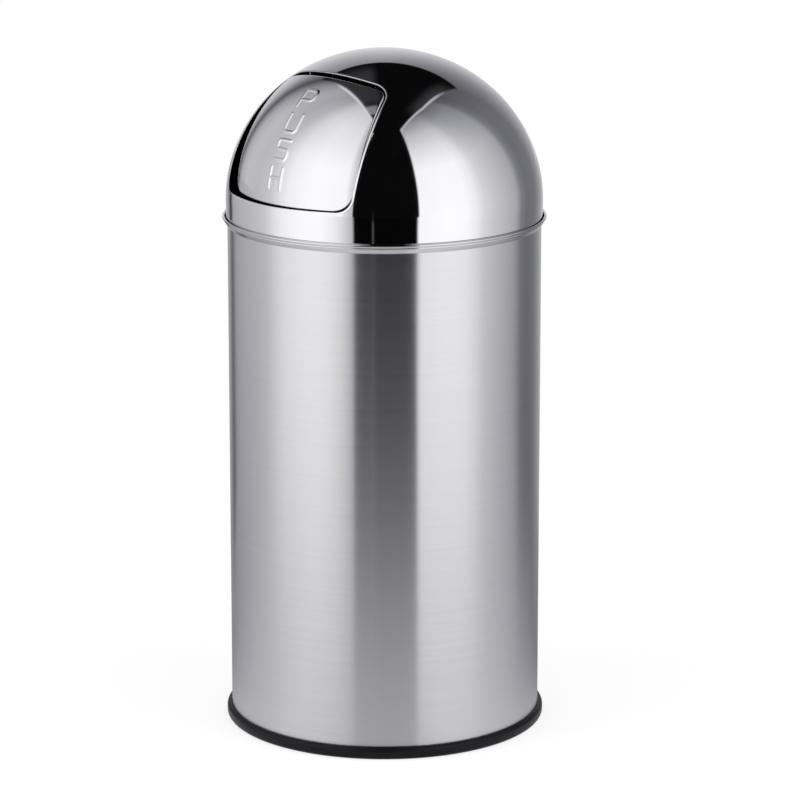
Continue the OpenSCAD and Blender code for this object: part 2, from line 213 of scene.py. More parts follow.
# %% Brushed steel
WELD_TINT = (0.5, 0.5, 0.52, 1)
BRUSHED_DARK, BRUSHED_LIGHT = (0.725, 0.723, 0.742, 1), (0.84, 0.838, 0.856, 1)
NECK_FROM, NECK_TO = 0.4885, 0.4905
brushed_body, shader, place = finish("brushed_body", Metallic=1.0, Anisotropic=1.0, Anisotropic_Rotation=0.25)
fine = stretched(place, 7, 7, 1900, 3.0)
broad = stretched(place, 3, 3, 260, 2.0, 4.0)
grain = fine * 0.6 + broad * 0.4
seam = abs(place.node("SeparateXYZ", Vector=place)).ramp(0.0004, 0.0009)
back = place.node("SeparateXYZ", out=1, Vector=place).ramp(0.0, 0.01)
weld = 1 - back * (1 - seam)
tone = (grain * 0.9 + 0.05).mix(BRUSHED_DARK, BRUSHED_LIGHT)
feed(shader, "Base Color", weld.mix(WELD_TINT, tone))
rim = place.node("SeparateXYZ", out=2, Vector=place).ramp(NECK_FROM, NECK_TO)
feed(shader, "Roughness", (grain * 0.08 + 0.205) * (1 - rim) + 0.07 * rim)
bump = place.node("Bump", Strength=0.12, Distance=0.00004, Height=(grain + weld * 0.6) * (1 - rim))
feed(shader, "Normal", bump)
print(brushed_body.name)

# %% [markdown]
# ## Polished dome and flap
# Polished stainless steel is a mirror with a hint of haze. A very low, wide noise makes the pressed sheet's
# faint waves, without which the reflections look drawn with a ruler.


# %% Polished steel
def polished(name, waves, haze):
    """Mirror steel with faint waves of the sheet and a little haze."""
    made, shader, place = finish(name, Metallic=1.0)
    wave = stretched(place, 9, 9, 9, 1.0)
    cloud = stretched(place, 40, 40, 40, 3.0, 2.0)
    feed(shader, "Base Color", cloud.mix((0.862, 0.86, 0.878, 1), (0.89, 0.888, 0.9, 1)))
    feed(shader, "Roughness", cloud * 0.03 + haze)
    feed(shader, "Normal", place.node("Bump", Strength=waves, Distance=0.001, Height=wave))
    return made


polished_dome = polished("polished_dome", 0.05, 0.03)
polished_flap = polished("polished_flap", 0.05, 0.05)
print(polished_dome.name, polished_flap.name)

# %% [markdown]
# ## Galvanised sheet, plain steel and drawn wire
# Hot-dipped zinc freezes in crystals, so its gloss changes from cell to cell. Mill-finish steel has a faint
# grain along its rolling direction, and drawn wire has fine lines along its length.

# %% Galvanised steel
galvanised, shader, place = finish("galvanised", Metallic=1.0)
cells = place.node("TexVoronoi", {"feature": "F1"}, out=1, Vector=place, Scale=70.0)
spangle = cells.node("SeparateColor", Color=cells)
cloud = stretched(place, 12, 12, 12, 4.0)
patches = spangle * 0.6 + cloud * 0.4
feed(shader, "Base Color", patches.mix((0.40, 0.42, 0.44, 1), (0.62, 0.64, 0.66, 1)))
feed(shader, "Roughness", spangle * 0.16 + cloud * 0.1 + 0.3)
feed(shader, "Normal", place.node("Bump", Strength=0.15, Distance=0.0002, Height=cloud + spangle * 0.3))
print(galvanised.name)

# %% Plain steel and spring steel
plain_steel, shader, place = finish("plain_steel", Metallic=1.0)
mill = stretched(place, 900, 40, 40, 3.0)
feed(shader, "Base Color", mill.mix((0.55, 0.55, 0.57, 1), (0.70, 0.70, 0.72, 1)))
feed(shader, "Roughness", mill * 0.16 + 0.24)
feed(shader, "Normal", place.node("Bump", Strength=0.1, Distance=0.0001, Height=mill))

spring_steel, shader, place = finish("spring_steel", Metallic=1.0)
lines = stretched(place, 500, 500, 500, 3.0)
feed(shader, "Base Color", lines.mix((0.36, 0.36, 0.37, 1), (0.52, 0.52, 0.53, 1)))
feed(shader, "Roughness", lines * 0.14 + 0.26)
feed(shader, "Normal", place.node("Bump", Strength=0.1, Distance=0.0001, Height=lines))
print(plain_steel.name, spring_steel.name)

# %% [markdown]
# ## Plastics and rubber
# Moulded plastic takes a fine spark-eroded texture from its mould. Rubber is duller, and its grain is
# coarser.


# %% Moulded finishes
def moulded(name, dark, light, rough, texture, depth, gloss=0.5):
    """Plastic or rubber between two tones, with a grain of that fineness and depth."""
    made, shader, place = finish(name, Specular_IOR_Level=gloss)
    grain = stretched(place, texture, texture, texture, 3.0)
    cloud = stretched(place, 25, 25, 25, 2.0, 3.0)
    feed(shader, "Base Color", (grain * 0.5 + cloud * 0.5).mix(dark, light))
    feed(shader, "Roughness", cloud * 0.1 + grain * 0.06 + rough)
    feed(shader, "Normal", place.node("Bump", Strength=0.25, Distance=depth, Height=grain))
    return made


black_plastic = moulded("black_plastic", (0.003, 0.003, 0.004, 1), (0.008, 0.008, 0.01, 1),
                        0.26, 1400, 0.00004, 0.22)
white_plastic = moulded("white_plastic", (0.74, 0.73, 0.69, 1), (0.84, 0.83, 0.79, 1),
                        0.36, 900, 0.00005)
stop_rubber = moulded("stop_rubber", (0.018, 0.018, 0.018, 1), (0.04, 0.04, 0.04, 1),
                      0.6, 600, 0.0001)
SLOTS = {m.name: m for m in (brushed_body, polished_dome, polished_flap, galvanised, plain_steel,
                             spring_steel, black_plastic, white_plastic, stop_rubber)}
print(len(SLOTS), "finishes")

# %% [markdown]
# ## Two ways to make a piece
# A lathe-turned piece starts as one point, is extruded along its section and spun round. A pressed or wound
# piece is a sheet of rings: a grid is laid in rings and its ends are merged. Both end up closed, with
# normals outwards.


# %% Turned pieces
def alone(piece):
    """Selects one piece and nothing else."""
    bpy.ops.object.select_all(action="DESELECT")
    piece.select_set(True)
    bpy.context.view_layer.objects.active = piece


def closed_up(piece, angle=35.0):
    """Merges doubles, points the faces outwards and shades the piece smooth, with sharp folds kept."""
    alone(piece)
    bpy.ops.object.mode_set(mode="EDIT")
    bpy.ops.mesh.select_all(action="SELECT")
    bpy.ops.mesh.remove_doubles(threshold=1e-6)
    bpy.ops.mesh.normals_make_consistent(inside=False)
    bpy.ops.object.mode_set(mode="OBJECT")
    bpy.ops.object.shade_smooth_by_angle(angle=math.radians(angle))
    return piece


def turned(name, section, steps):
    """A closed section of (radius, height) points in mm, spun round Z."""
    bpy.ops.object.select_all(action="DESELECT")
    bpy.ops.mesh.primitive_plane_add(size=0.01)
    piece = bpy.context.object
    piece.name = piece.data.name = name
    bpy.ops.object.mode_set(mode="EDIT")
    bpy.ops.mesh.merge(type="CENTER")
    at = Vector((section[0][0], 0, section[0][1])) * MM
    bpy.ops.transform.translate(value=at)
    for r, z in list(section[1:]) + [section[0]]:
        there = Vector((r, 0, z)) * MM
        bpy.ops.mesh.extrude_vertices_move(TRANSFORM_OT_translate={"value": there - at})
        at = there
    bpy.ops.mesh.select_all(action="SELECT")
    bpy.ops.mesh.spin(steps=steps, angle=2 * math.pi, center=(0, 0, 0), axis=(0, 0, 1))
    bpy.ops.object.mode_set(mode="OBJECT")
    return closed_up(piece)


def bend(cx, cy, rx, ry, a, b, n=8):
    """Points of an oval's arc round (cx, cy), from angle a to b in degrees."""
    angles = [math.radians(a + (b - a) * i / n) for i in range(n + 1)]
    return [(cx + rx * math.cos(t), cy + ry * math.sin(t)) for t in angles]


def arc(cx, cy, r, a, b, n):
    """Points of a round arc."""
    return bend(cx, cy, r, r, a, b, n)


print("a quarter arc of four steps has", len(arc(0, 0, 1, 0, 90, 4)), "points")


# %% Pieces laid in rings
def ringed(name, rings, angle=35.0):
    """A sheet through rings of points in mm, given as an array of rings, points, xyz."""
    rings = np.asarray(rings, float) * MM
    rings = np.concatenate([rings, rings[:, :1]], axis=1)
    rows, columns = rings.shape[:2]
    bpy.ops.object.select_all(action="DESELECT")
    bpy.ops.mesh.primitive_grid_add(x_subdivisions=columns - 1, y_subdivisions=rows - 1, size=1)
    piece = bpy.context.object
    piece.name = piece.data.name = name
    piece.data.vertices.foreach_set("co", rings.reshape(-1))
    piece.data.update()
    return closed_up(piece, angle)


def swept(name, path, radius, sides):
    """A round wire along a path of points in mm, closed at both ends."""
    path = np.asarray(path, float)
    along = np.gradient(path, axis=0)
    along /= np.linalg.norm(along, axis=1)[:, None]
    start = np.cross(along[0], (0.13, 0.31, 0.94))
    rings, normal = [], start / np.linalg.norm(start)
    turn = np.linspace(0, 2 * np.pi, sides, endpoint=False)
    for at, direction in zip(path, along):
        normal = normal - direction * normal.dot(direction)
        normal /= np.linalg.norm(normal)
        other = np.cross(direction, normal)
        rings.append(at + radius * (np.cos(turn)[:, None] * normal + np.sin(turn)[:, None] * other))
    first, last = (np.tile(end, (sides, 1)) for end in (path[0], path[-1]))
    return ringed(name, [first, *rings, last], 60)


def placed(piece, body, slot, *nodes):
    """Gives a piece its body, its finish and the nodes that it stands for."""
    piece.data.materials.clear()
    piece.data.materials.append(SLOTS[slot])
    if body:
        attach(piece, body)
    if nodes:
        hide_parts(*nodes)
    print(piece.name, len(piece.data.polygons), "faces")
    return piece


# %% [markdown]
# ## The tube
# One turned section gives the wall, the flared neck, the small tucked curl and the rolled rim that shows as
# two bright lines under the dome.

# %% Tube
IN_R, FLARE_R = BODY_R - WALL, 0.9
tube_section = (
    [(IN_R, FOOT_T), (BODY_R, FOOT_T), (BODY_R, BODY_TOP - 0.6)]
    + arc(NECK_R - FLARE_R, NECK_Z - 0.2, FLARE_R, -30, 0, 3)
    + arc(NECK_R, CURL_Z, CURL_R, -60, 45, 8)
    + arc(RIM_C, RIM_Z, RIM_R, -105, 180, 20)
    + [(RIM_C - RIM_R - 0.2, RIM_Z - 1.6), (NECK_R - WALL, NECK_Z), (IN_R, BODY_TOP)]
)
placed(turned("tube", tube_section, 288), "receptacle", "brushed_body", "body_shell")

# %% [markdown]
# ## The base ring
# The plastic ring grips the tube's foot from outside. Its outer face swells to a soft ridge that catches a
# line of light.

# %% Base ring
RING_ROUND, RING_LIP_T = 4.2, 2.5
seat_r, grip_r = BODY_R + FIT, IN_R - FIT
inner_r = grip_r - RING_LIP_T
ring_section = (
    [(RING_IN, 0.0)]
    + arc(RING_R - RING_ROUND, RING_ROUND, RING_ROUND, -90, -8, 10)
    + arc(RING_R - RING_ROUND, RING_H - RING_ROUND, RING_ROUND, 8, 84, 10)
    + [(BODY_R + 0.35, RING_H - 0.35), (seat_r, RING_H - 0.7), (seat_r, FOOT_T), (grip_r, FOOT_T),
       (grip_r, LIP_TOP - 0.2), (grip_r - 0.27, LIP_TOP), (inner_r + 0.23, LIP_TOP),
       (inner_r, LIP_TOP - 0.2), (inner_r, FOOT_T), (RING_IN, FOOT_T)]
)
placed(turned("foot_ring", ring_section, 288), "receptacle", "black_plastic", "base_ring")

# %% [markdown]
# ## The floor plate
# A pressed plate is crimped into the tube's foot. Two pressed rings stiffen it.

# %% Floor plate
PRESSED_AT, PRESSED_WIDE, PRESSED_DEEP = (50, 102), 14, 1.2
plate_r = IN_R - FIT
plate_low = [(0.0, PLATE_Z)]
for start in PRESSED_AT:
    end = start + PRESSED_WIDE
    plate_low += [(start, PLATE_Z), (start + 3, PLATE_Z - PRESSED_DEEP), (end - 3, PLATE_Z - PRESSED_DEEP),
                  (end, PLATE_Z)]
plate_section = (
    plate_low
    + [(plate_r - 3.0, PLATE_Z), (plate_r - 1.6, PLATE_Z - 0.6), (plate_r - WALL, PLATE_Z - 2.0),
       (plate_r - WALL, LIP_TOP), (plate_r, LIP_TOP), (plate_r, PLATE_Z - 1.6),
       (plate_r - 0.7, PLATE_Z + 0.2), (plate_r - 2.2, PLATE_Z + WALL)]
    + [(r, z + WALL) for r, z in plate_low[::-1]]
)
placed(turned("floor_plate_pressed", plate_section, 192), "receptacle", "galvanised", "floor_plate")

# %% [markdown]
# ## The opening's outline
# The opening is drawn with arcs only: arched sides that close in towards the top, a bowed lower edge and
# four round corners. The flap's edge is the same outline drawn in by its gaps, with corners of its own.


# %% Outline of the opening and the flap
def half_outline(side_gap, top_gap, low_gap, corner_top, corner_low):
    """The right half of the outline, from the top to the bottom, as x and w in mm."""
    side, bow = OPEN_SIDE_R - side_gap, OPEN_BOW_R - low_gap
    side_x, side_w, bow_w = OPEN_HALF - OPEN_SIDE_R, -OPEN_WIDE_AT, OPEN_BOW_R - OPEN_LOW
    wt = OPEN_TOP - top_gap - corner_top
    xt = side_x + math.sqrt((side - corner_top) ** 2 - (wt - side_w) ** 2)
    dx, dw, near = -side_x, bow_w - side_w, side - corner_low
    apart = math.hypot(dx, dw)
    along = (near**2 - (bow - corner_low) ** 2 + apart**2) / (2 * apart)
    across = math.sqrt(near**2 - along**2)
    xl, wl = side_x + (along * dx + across * dw) / apart, side_w + (along * dw - across * dx) / apart
    high, low = (math.degrees(math.atan2(w - side_w, x - side_x)) for x, w in ((xt, wt), (xl, wl)))
    bow_a = math.degrees(math.atan2(wl - bow_w, xl))
    return (arc(xt, wt, corner_top, 90, high, 24) + arc(side_x, side_w, side, high, low, 60)[1:]
            + arc(xl, wl, corner_low, low, bow_a, 24)[1:] + arc(0, bow_w, bow, bow_a, -90, 24)[1:])


LETTERS_HALF = 12.0


def outline(side_gap, top_gap, low_gap, corner_top, corner_low, spacing=1.2, fine=1.2):
    """The whole outline as points with that spacing in mm, or the fine one in line with the letters."""
    half = half_outline(side_gap, top_gap, low_gap, corner_top, corner_low)
    whole = np.array([(0.0, half[0][1])] + half + [(-x, w) for x, w in half[::-1]] + [(0.0, half[0][1])])
    step = np.linalg.norm(np.diff(whole, axis=0), axis=1)
    whole = whole[np.concatenate([[True], step > 1e-9])]
    length = np.concatenate([[0], np.cumsum(np.linalg.norm(np.diff(whole, axis=0), axis=1))])
    dense = np.linspace(0, length[-1], 6000)
    x, w = (np.interp(dense, length, whole[:, i]) for i in (0, 1))
    weight = np.where(np.abs(x) < LETTERS_HALF, 1 / fine, 1 / spacing)
    count = np.concatenate([[0], np.cumsum((weight[1:] + weight[:-1]) / 2 * np.diff(dense))])
    points = int(count[-1] / 4) * 4
    at = np.linspace(0, count[-1], points, endpoint=False)
    return np.stack([np.interp(at, count, x), np.interp(at, count, w)], axis=1)


def inward(ring):
    """The unit normals of a closed outline, pointing in."""
    along = np.roll(ring, -1, axis=0) - np.roll(ring, 1, axis=0)
    along /= np.linalg.norm(along, axis=1)[:, None]
    return np.stack([along[:, 1], -along[:, 0]], axis=1)


print("opening", len(outline(0, 0, 0, CORNER_TOP, CORNER_LOW)), "points")

# %% [markdown]
# A point of the outline is carried out along v until it meets the dome, or the flap's own flatter surface.


# %% From the outline to the surface
def surface_v(x, w, sunk, flat=0.0, lean=0.0):
    """Distance along v to a dome's surface, sunk by so much, its centre set back by flat and up by lean."""
    w = w - lean
    a, b = DOME_R - sunk + flat, DOME_RISE - sunk + flat
    c, s = math.cos(TILT), math.sin(TILT)
    k2 = c * c / a**2 + s * s / b**2
    k1 = 2 * w * c * s * (1 / b**2 - 1 / a**2)
    k0 = (x * x + (w * s) ** 2) / a**2 + (w * c) ** 2 / b**2 - 1
    v = (-k1 + np.sqrt(k1 * k1 - 4 * k2 * k0)) / (2 * k2)
    skirt = (w * s + np.sqrt(np.maximum(a * a - x * x, 0))) / c
    return np.where(w * c + v * s < 0, skirt, v) - flat


def in_space(x, w, v):
    """World points in mm from x, w and v."""
    x, w, v = (part[..., None] for part in np.broadcast_arrays(x, w, v))
    return SPRING_OF_DOME + x * np.array([1.0, 0, 0]) + w * AXIS_W + v * AXIS_V


print("dome's surface at the opening's middle", round(float(surface_v(0.0, 0.0, 0.0)), 1))

# %% [markdown]
# ## The dome
# The dome is turned like the tube. The opening is cut by a Boolean with a bar of the outline, a little
# larger than the finished opening, and the cut's shading is put right by copying the normals of the uncut
# dome. The lip that goes round the opening is then rolled on: the sheet's edge is turned in by a shallow
# arc and hemmed tight, which gives the bright line. The hem is narrower than the CAD's, as in the photograph.

# %% Dome, uncut
LIP, LIP_R, LIP_TURN, HEM_R = 2.0, 4.6, 23.0, 0.35


def dome_curve(sunk, n):
    """Points up the dome's section, from its foot to its top."""
    a, b = DOME_R - sunk, DOME_RISE - sunk
    return [(a * math.cos(t), DOME_Z + b * math.sin(t)) for t in np.linspace(0, math.pi / 2, n + 1)]


dome_section = (
    [(DOME_R, SKIRT_Z + 0.3), (DOME_R, DOME_Z - 10)] + dome_curve(0, 96) + dome_curve(WALL, 96)[::-1]
    + [(DOME_R - WALL, SKIRT_Z + 0.3), (DOME_R - WALL / 2, SKIRT_Z)]
)
dome = turned("dome", dome_section, 288)
uncut = dome.copy()
uncut.data = dome.data.copy()
bpy.context.scene.collection.objects.link(uncut)
print("dome", len(dome.data.polygons), "faces")

# %% Cut the opening
cut_line = outline(-LIP, -LIP, -LIP, CORNER_TOP + LIP, CORNER_LOW + LIP, 2.0, 2.0)
BAR_FROM, BAR_TO = 30.0, 190.0
x, w = cut_line.T
bar_ends = ((0, BAR_FROM), (1, BAR_FROM), (1, BAR_TO), (0, BAR_TO))
bar = ringed("opening_bar", [in_space(x * wide, w * wide, v) for wide, v in bar_ends])
alone(dome)
cut = dome.modifiers.new("opening", "BOOLEAN")
cut.operation, cut.solver, cut.object = "DIFFERENCE", "EXACT", bar
bpy.ops.object.modifier_apply(modifier=cut.name)
shading = dome.modifiers.new("shading", "DATA_TRANSFER")
shading.object, shading.use_loop_data = uncut, True
shading.data_types_loops, shading.loop_mapping = {"CUSTOM_NORMAL"}, "POLYINTERP_NEAREST"
above = dome.vertex_groups.new(name="above_skirt_edge")
above.add([v.index for v in dome.data.vertices if v.co.z > (SKIRT_Z + 5) * MM], 1.0, "REPLACE")
shading.vertex_group = above.name
bpy.ops.object.modifier_apply(modifier=shading.name)
for spare in (bar, uncut):
    bpy.data.objects.remove(spare)
placed(dome, "lid", "polished_dome", "dome_shell")

# %% The opening's rolled lip
lip_line = outline(0, 0, 0, CORNER_TOP, CORNER_LOW, 1.6, 1.6)
lip_in = inward(lip_line)
hem_out = LIP - (LIP_R - HEM_R) * math.sin(math.radians(LIP_TURN))
hem_deep = LIP_R - (LIP_R - HEM_R) * math.cos(math.radians(LIP_TURN))
lip_section = (
    [(LIP + 0.6, 0.4)]
    + arc(LIP, LIP_R, LIP_R, -90, -90 - LIP_TURN, 8)
    + arc(hem_out, hem_deep, HEM_R, -90 - LIP_TURN, -270, 11)[1:]
    + [(LIP, hem_deep + HEM_R), (LIP + 1.4, 1.2), (LIP + 0.6, 0.4)]
)
lip_rings = []
for out, deep in lip_section:
    x, w = (lip_line - lip_in * out).T
    lip_rings.append(in_space(x, w, surface_v(x, w, deep)))
placed(ringed("opening_lip", lip_rings, 50), "lid", "polished_dome")

# %% [markdown]
# ## The flap
# The flap is a pressed panel with a turned border and raised letters. Rings that follow its outline hold
# the rounded border exactly, and rings that shrink towards its middle carry the panel. The word is the
# plain instruction such flaps have; its strokes are simple lines of this lesson's own, pressed out with
# round edges. The panel lies 0.4 mm deeper than the CAD's, as the photograph shows.

# %% The letters' strokes
TALL, WIDE = 19.0, 15.0


def letter(strokes, middle):
    """Strokes on a unit box, moved to their place on the flap."""
    return [[((x - 0.5) * WIDE, (y - 0.5) * TALL + middle) for x, y in stroke] for stroke in strokes]


P_SHAPE = [[(0, 0), (0, 1)],
           [(0, 1), (0.75, 1)] + bend(0.75, 0.8, 0.25, 0.2, 90, 0)
           + bend(0.75, 0.6, 0.25, 0.2, 0, -90) + [(0, 0.4)]]
U_SHAPE = [[(0, 1), (0, 0.2)] + bend(0.25, 0.2, 0.25, 0.2, 180, 270)
           + bend(0.75, 0.2, 0.25, 0.2, 270, 360) + [(1, 1)]]
S_SHAPE = [[(1, 1), (0.2, 1)] + bend(0.2, 0.84, 0.2, 0.16, 90, 180)
           + bend(0.2, 0.68, 0.2, 0.16, 180, 270) + [(0.8, 0.52)]
           + bend(0.8, 0.34, 0.2, 0.18, 90, 0) + bend(0.8, 0.18, 0.2, 0.18, 0, -90) + [(0, 0)]]
H_SHAPE = [[(0, 0), (0, 1)], [(1, 0), (1, 1)], [(0, 0.5), (1, 0.5)]]
STROKES = letter(P_SHAPE, 38.6) + letter(U_SHAPE, 11.2) + letter(S_SHAPE, -16.1) + letter(H_SHAPE, -42.5)


def stroke_distance(x, w):
    """Distance from each point to the nearest stroke."""
    nearest = np.full(x.shape, 1e9)
    for stroke in STROKES:
        for (ax, aw), (bx, bw) in zip(stroke[:-1], stroke[1:]):
            dx, dw = bx - ax, bw - aw
            along = np.clip(((x - ax) * dx + (w - aw) * dw) / (dx * dx + dw * dw + 1e-12), 0, 1)
            away = np.hypot(x - ax - along * dx, w - aw - along * dw)
            nearest = np.minimum(nearest, away)
    return nearest


print("strokes", len(STROKES))

# %% Flap panel
EDGE_R, PRESS, STROKE_HALF, SET_BACK = 1.0, 0.80, 2.1, 0.4
edge_line = outline(GAP_SIDE, GAP_TOP, GAP_LOW, FLAP_CORNER_TOP, FLAP_CORNER_LOW, 1.3, 0.42)
edge_in = inward(edge_line)
MIDDLE, INSET, BREAK = np.array([0.0, -2.0]), 7.0, 0.15
inner_line = edge_line + edge_in * INSET


def flap_point(ring, deep, press=True):
    """A ring on the flap, so deep under its face, with the letters pressed out or not."""
    x, w = ring.T
    v = surface_v(x, w, FLAP_RECESS + SET_BACK, FLAP_FLAT, FLAP_LEAN) - deep
    if press:
        near = np.clip(1 - stroke_distance(x, w) / STROKE_HALF, 0, 1)
        v = v + PRESS * near * near * (3 - 2 * near)
    return in_space(x, w, v)


turned_border = (
    [(e, 0) for e in (6.4, 5.4, 4.4, 3.4, 2.5, 1.8, 1.3, 1.1)]
    + [(EDGE_R * (1 - math.sin(t)), EDGE_R * (1 - math.cos(t))) for t in np.linspace(0.08, math.pi / 2, 14)]
    + [(0, d) for d in (3.0, 5.5, BORDER - BREAK)] + [(e, BORDER) for e in (BREAK, FLAP_WALL - BREAK)]
    + [(FLAP_WALL, d) for d in (BORDER - BREAK, 5.5, 3.5, 2.4)] + [(e, FLAP_WALL) for e in (1.2, 3.0)]
)
panel = inner_line - MIDDLE
flap_rings = [flap_point(MIDDLE + panel * s, 0) for s in np.linspace(0, 1, 128)]
flap_rings += [flap_point(edge_line + edge_in * e, deep, False) for e, deep in turned_border]
flap_rings += [flap_point(MIDDLE + panel * s, FLAP_WALL, False) for s in np.linspace(1, 0, 14)]
placed(ringed("flap", flap_rings, 60), "flap", "polished_flap", "flap_panel")

# %% [markdown]
# ## The collar
# A plastic collar inside the skirt steps in and centres the dome in the tube's neck.

# %% Collar
COLLAR_T, COLLAR_TOP, COLLAR_LOW = 1.6, SKIRT_Z + 14, SKIRT_Z - 17
up_r, low_r = DOME_R - WALL - FIT, IN_R - 0.5
collar_section = [
    (low_r - COLLAR_T, COLLAR_LOW + 0.4), (low_r - 1.3, COLLAR_LOW), (low_r - 0.8, COLLAR_LOW),
    (low_r, COLLAR_LOW + 1.5), (low_r, SKIRT_Z), (up_r, SKIRT_Z + 1.5), (up_r, COLLAR_TOP - 0.4),
    (up_r - 0.4, COLLAR_TOP), (up_r - 1.3, COLLAR_TOP), (up_r - COLLAR_T, COLLAR_TOP - 0.3),
    (up_r - COLLAR_T, SKIRT_Z + 3.6), (low_r - COLLAR_T, SKIRT_Z + 1.8)]
placed(turned("collar", collar_section, 192), "lid", "black_plastic", "lid_collar")

# %% [markdown]
# ## The hinge
# Cheeks, lugs, bushes, stops, caps and rod have the right shapes in the CAD already, but their edges are
# dead sharp. A copy of each gets its loose triangles merged and its edges broken by a fine bevel.


# %% Broken edges on the small parts
def softened(node, body, slot, width):
    """A copy of a node with its edges bevelled by that width in mm, in the node's place."""
    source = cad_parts[node]
    piece = source.copy()
    piece.data = source.data.copy()
    piece.parent = None
    piece.matrix_world = source.matrix_world.copy()
    bpy.context.scene.collection.objects.link(piece)
    piece.name = piece.data.name = node + "_fine"
    alone(piece)
    bpy.ops.object.transform_apply(location=True, rotation=True, scale=True)
    bpy.ops.object.mode_set(mode="EDIT")
    bpy.ops.mesh.select_all(action="SELECT")
    bpy.ops.mesh.remove_doubles(threshold=2e-6)
    bpy.ops.mesh.dissolve_limited(angle_limit=math.radians(1.0))
    bpy.ops.object.mode_set(mode="OBJECT")
    edge = piece.modifiers.new("edge", "BEVEL")
    edge.width, edge.segments = width * MM, 2
    edge.limit_method, edge.angle_limit = "ANGLE", math.radians(50)
    edge.use_clamp_overlap = True
    bpy.ops.object.modifier_apply(modifier=edge.name)
    bpy.ops.object.shade_smooth_by_angle(angle=math.radians(30))
    placed(piece, body, slot, node)


for end in ("left", "right"):
    softened("hinge_cheek_" + end, "lid", "plain_steel", 0.2)
    softened("rod_cap_" + end, "lid", "black_plastic", 0.4)
    softened("flap_stop_" + end, "lid", "stop_rubber", 0.4)
    softened("flap_lug_" + end, "flap", "plain_steel", 0.2)
    softened("flap_bush_" + end, "flap", "white_plastic", 0.25)
    softened("bail_ear_" + end, "bucket", "galvanised", 0.3)
softened("hinge_rod", "lid", "plain_steel", 0.5)

# %% [markdown]
# ## The springs
# Each torsion spring is one length of wire: a straight leg that bears on the dome's side, nearly seven
# turns round the rod, and a second leg that lies along the flap. When the flap opens, the coil winds up
# from one end to the other. Here the wire is built at rest and rides on no body.


# %% Springs
TURNS, COIL_R, COIL_LONG, SPRING_WIRE = 6.75, 4.3, 12.0, 0.8
SPRING_FROM, LEG_UP, LEG_ALONG = 28.5, 19.5, 16.0


def spring(side):
    """The wound wire on one side: side is -1 at the left, 1 at the right."""
    t = np.linspace(0, 1, 170)
    turn = np.pi + t * TURNS * 2 * np.pi
    x = SPRING_FROM + SPRING_WIRE + t * (COIL_LONG - 2 * SPRING_WIRE)
    coil = np.stack([x, np.cos(turn) * COIL_R, np.sin(turn) * COIL_R], axis=1)
    rise = [(x[0], -COIL_R, h) for h in np.linspace(LEG_UP, 0.6, 16)]
    ahead = np.array([0, -math.sin(turn[-1]), math.cos(turn[-1])])
    leg = [coil[-1] + ahead * d + np.array([0.35 * min(d, 2), 0, 0]) for d in np.linspace(0.6, LEG_ALONG, 16)]
    path = np.concatenate([rise, coil, leg])
    world = np.stack([side * path[:, 0], -(ROD_U + path[:, 1]), ROD_Z + path[:, 2]], axis=1)
    return swept("spring_wire_" + ("right" if side > 0 else "left"), world, SPRING_WIRE, 10)


for side, end in ((-1, "left"), (1, "right")):
    wound = placed(spring(side), None, "spring_steel", "spring_" + end)
    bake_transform(wound)

# %% [markdown]
# ## The bucket
# The inner bucket is rolled from galvanised sheet: a tapered wall with two swaged beads, a wired rim and a
# base crimped in from below. The bail is one wire with hooked ends through two riveted ears.


# %% Bucket
def bucket_r(z):
    """The tapered wall's outer radius at a height."""
    return BUCKET_R - (BUCKET_R - BUCKET_LOW) * (BUCKET_RIM_Z - z) / (BUCKET_RIM_Z - BUCKET_Z)


def bead(z, half=5, out=1.6):
    """A soft bead in the wall round height z, as points upwards."""
    return [(bucket_r(z + h) + out * math.cos(math.pi * h / (2 * half)) ** 2, z + h)
            for h in np.linspace(-half, half, 13)]


rim_c = BUCKET_R - BUCKET_WALL + BUCKET_RIM_R
outer_wall = [(bucket_r(BUCKET_Z), BUCKET_Z)] + bead(120) + bead(400) + [(bucket_r(456), 456)]
inner_wall = [(r - BUCKET_WALL, z) for r, z in outer_wall]
bucket_section = outer_wall + arc(rim_c, BUCKET_RIM_Z, BUCKET_RIM_R, -115, 180, 18) + inner_wall[::-1]
placed(turned("bucket_wall", bucket_section, 224), "bucket", "galvanised", "bucket_shell")

# %% Bucket base
base_z = BUCKET_Z + 6.0
face_z, raised_z = base_z + BUCKET_WALL, base_z + 1.5
base_r, top_r = (bucket_r(z) - BUCKET_WALL - FIT for z in (BUCKET_Z, base_z))
base_section = [
    (0.0, base_z), (70, base_z), (74, raised_z), (92, raised_z), (96, base_z), (top_r - 3, base_z),
    (top_r - 1.4, base_z - 1), (base_r - 0.7, BUCKET_Z + 0.2), (base_r - 0.35, BUCKET_Z),
    (base_r, BUCKET_Z + 0.2), (top_r, base_z - 0.8), (top_r - 0.6, base_z + 0.5), (top_r - 2, face_z),
    (96.3, face_z), (92.3, raised_z + BUCKET_WALL), (73.7, raised_z + BUCKET_WALL), (69.7, face_z),
    (0.0, face_z)]
placed(turned("bucket_pan", base_section, 192), "bucket", "galvanised", "bucket_base")

